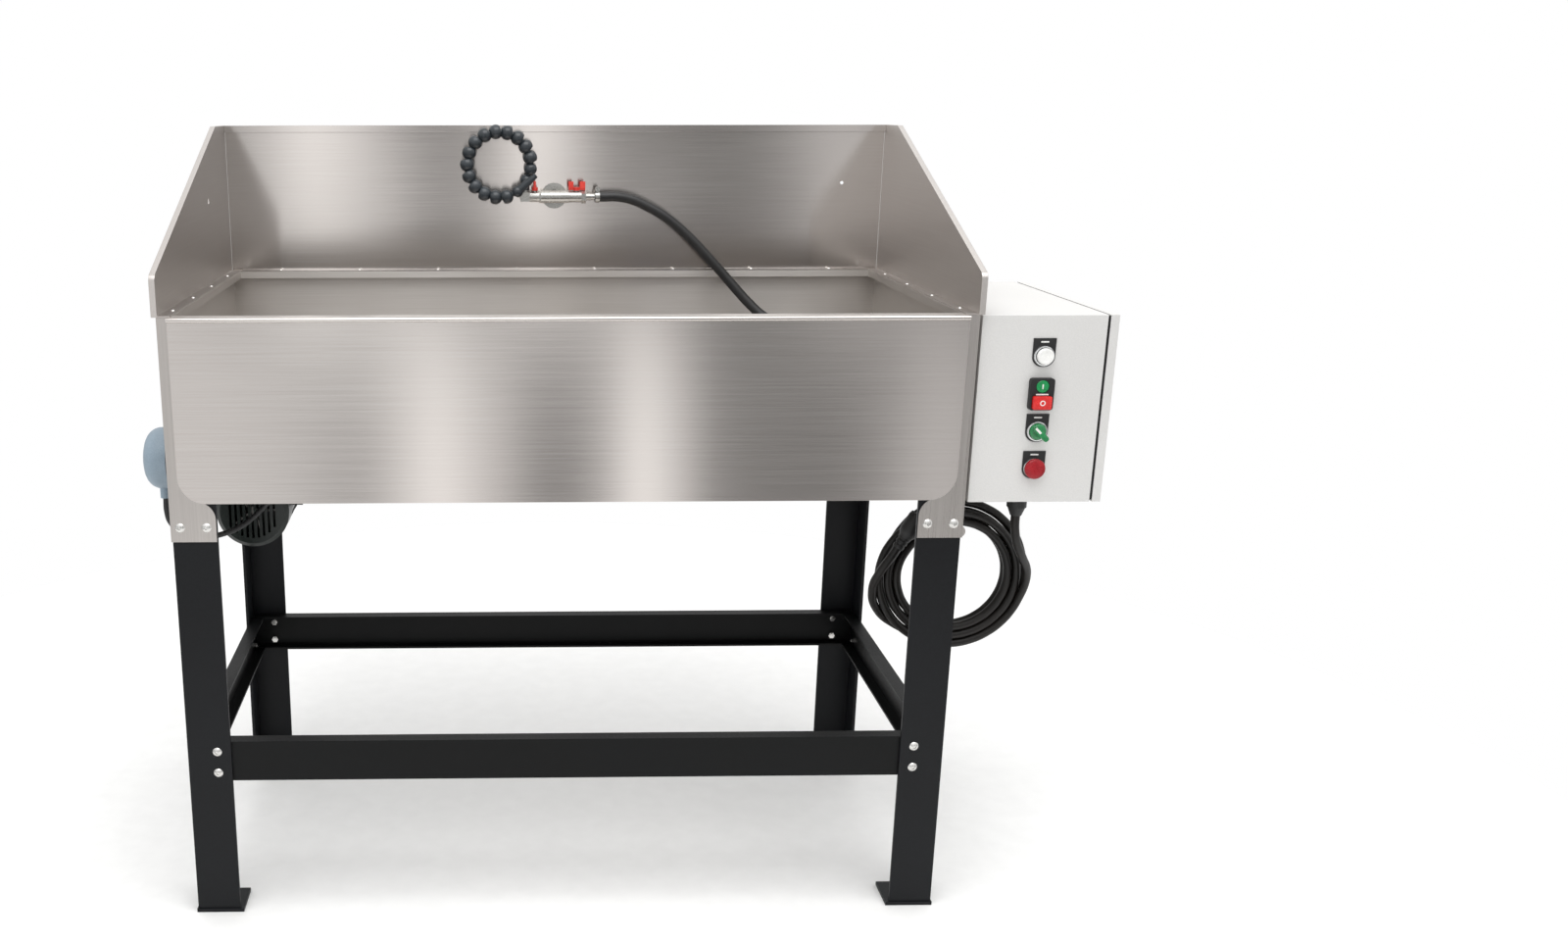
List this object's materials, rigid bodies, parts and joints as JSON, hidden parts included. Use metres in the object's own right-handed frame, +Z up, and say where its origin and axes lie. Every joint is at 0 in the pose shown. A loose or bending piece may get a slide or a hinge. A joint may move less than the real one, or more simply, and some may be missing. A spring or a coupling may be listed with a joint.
{
  "type": "parts washer tank",
  "caption": "Stainless parts-washing basin with splash guard on a bolted steel stand, with pump, immersion heater, hose manifold, brush hose and side control cabinet.",
  "frame": {"origin": "centre of the four floor anchor holes, on the floor", "axes": "+X to the right past the control cabinet, +Y to the back panel, +Z up"},
  "size_m": [1.4668, 0.654, 1.2305],
  "materials": {
    "stainless_sheet": "satin brushed",
    "black_powder_coat": "satin powder coat",
    "bright_fastener": "bright",
    "nickel_plate": "polished",
    "stainless_fitting": "satin",
    "machined_steel": "machined",
    "light_grey_paint": "fine texture",
    "pump_enamel": "satin enamel",
    "blue_grey_plastic": "satin",
    "black_plastic": "satin",
    "black_rubber": "matt",
    "red_plastic": "gloss",
    "green_plastic": "gloss",
    "white_plastic": "gloss",
    "red_lens": "gloss",
    "blue_plastic": "satin",
    "zinc_plate": "passivated",
    "grey_plastic": "satin"
  },
  "bodies": {
    "tank": {"tank_shell": "stainless_sheet", "front_panel": "stainless_sheet", "splash_back": "stainless_sheet", "splash_left": "stainless_sheet", "splash_right": "stainless_sheet", "corner_posts": "stainless_sheet", "grid_supports": "stainless_sheet", "right_work_grid": "stainless_sheet", "cabinet_brackets": "stainless_sheet", "front_left_leg": "black_powder_coat", "front_right_leg": "black_powder_coat", "rear_left_leg": "black_powder_coat", "rear_right_leg": "black_powder_coat", "front_brace": "black_powder_coat", "rear_brace": "black_powder_coat", "left_brace": "black_powder_coat", "right_brace": "black_powder_coat", "tank_rails": "black_powder_coat", "pump_bracket": "black_powder_coat", "frame_screws": "bright_fastener", "splash_rivets": "bright_fastener", "hose_clamp": "bright_fastener", "manifold_flange": "nickel_plate", "manifold_tee": "nickel_plate", "left_valve": "nickel_plate", "right_valve": "nickel_plate", "suction_fitting": "stainless_fitting", "drain_valve": "stainless_fitting", "heater_element": "stainless_fitting", "cabinet_body": "light_grey_paint", "pump_casing": "pump_enamel", "pump_motor": "pump_enamel", "heater_head": "blue_grey_plastic", "legend_plates": "black_plastic", "cable_gland": "black_plastic", "brush_hose": "black_rubber", "supply_hose": "black_rubber", "power_cable": "black_rubber", "cable_coil": "black_rubber", "power_plug": "black_rubber", "control_cables": "black_rubber", "door_gasket": "black_rubber", "red_lamp": "red_lens", "wash_brush": "blue_plastic", "mounting_plate": "zinc_plate", "control_gear": "grey_plastic"},
    "door": {"cabinet_door": "light_grey_paint"},
    "lock": {"door_lock": "black_plastic"},
    "lift_grid": {"left_work_grid": "stainless_sheet"},
    "rotor": {"pump_rotor": "machined_steel"},
    "drain_handle": {"drain_lever": "red_plastic"},
    "left_handle": {"left_valve_lever": "red_plastic"},
    "right_handle": {"right_valve_lever": "red_plastic"},
    "lower_links": {"lower_hose_links": "black_plastic"},
    "upper_links": {"upper_hose_links": "black_plastic"},
    "nozzle": {"round_nozzle": "black_plastic"},
    "white_push": {"white_button": "white_plastic"},
    "start_push": {"start_button": "green_plastic"},
    "stop_push": {"stop_button": "red_plastic"},
    "selector": {"selector_knob": "green_plastic"}
  },
  "joints": [
    {"name": "cabinet_door_hinge", "type": "hinge", "parent": "tank", "child": "door", "pos_m": [0.797, 0.114, 0.8255], "axis": [0, 0, 1], "range_deg": [0, 120]},
    {"name": "door_lock_turn", "type": "hinge", "parent": "door", "child": "lock", "pos_m": [0.81, -0.26, 0.8255], "axis": [1, 0, 0], "range_deg": [0, 90]},
    {"name": "grid_lift", "type": "slide", "parent": "tank", "child": "lift_grid", "axis": [0, 0, 1], "range_m": [0, 0.15]},
    {"name": "pump_spin", "type": "hinge", "parent": "tank", "child": "rotor", "pos_m": [-0.512, 0, 0.62], "axis": [0, 1, 0], "continuous": true},
    {"name": "drain_turn", "type": "hinge", "parent": "tank", "child": "drain_handle", "pos_m": [0, 0.242, 0.669], "axis": [0, 0, 1], "range_deg": [0, 90]},
    {"name": "left_valve_turn", "type": "hinge", "parent": "tank", "child": "left_handle", "pos_m": [-0.039, 0.262, 1.116], "axis": [0, 0, -1], "range_deg": [0, 90]},
    {"name": "right_valve_turn", "type": "hinge", "parent": "tank", "child": "right_handle", "pos_m": [0.036, 0.262, 1.116], "axis": [0, 0, 1], "range_deg": [0, 90]},
    {"name": "hose_swivel", "type": "hinge", "parent": "tank", "child": "lower_links", "pos_m": [-0.057, 0.262, 1.125], "axis": [0, 0, 1], "range_deg": [0, 75]},
    {"name": "hose_bend", "type": "hinge", "parent": "lower_links", "child": "upper_links", "pos_m": [-0.14531, 0.2492, 1.20109], "axis": [0, 1, 0], "range_deg": [0, 38]},
    {"name": "nozzle_bend", "type": "hinge", "parent": "upper_links", "child": "nozzle", "pos_m": [-0.07085, 0.2364, 1.11568], "axis": [0, 1, 0], "range_deg": [0, 30]},
    {"name": "white_press", "type": "slide", "parent": "tank", "child": "white_push", "axis": [0, 1, 0], "range_m": [0, 0.004], "stiffness_N_per_m": 400},
    {"name": "start_press", "type": "slide", "parent": "tank", "child": "start_push", "axis": [0, 1, 0], "range_m": [0, 0.004], "stiffness_N_per_m": 400},
    {"name": "stop_press", "type": "slide", "parent": "tank", "child": "stop_push", "axis": [0, 1, 0], "range_m": [0, 0.004], "stiffness_N_per_m": 400},
    {"name": "selector_turn", "type": "hinge", "parent": "tank", "child": "selector", "pos_m": [0.702, -0.29, 0.794], "axis": [0, 1, 0], "range_deg": [0, 90]}
  ]
}
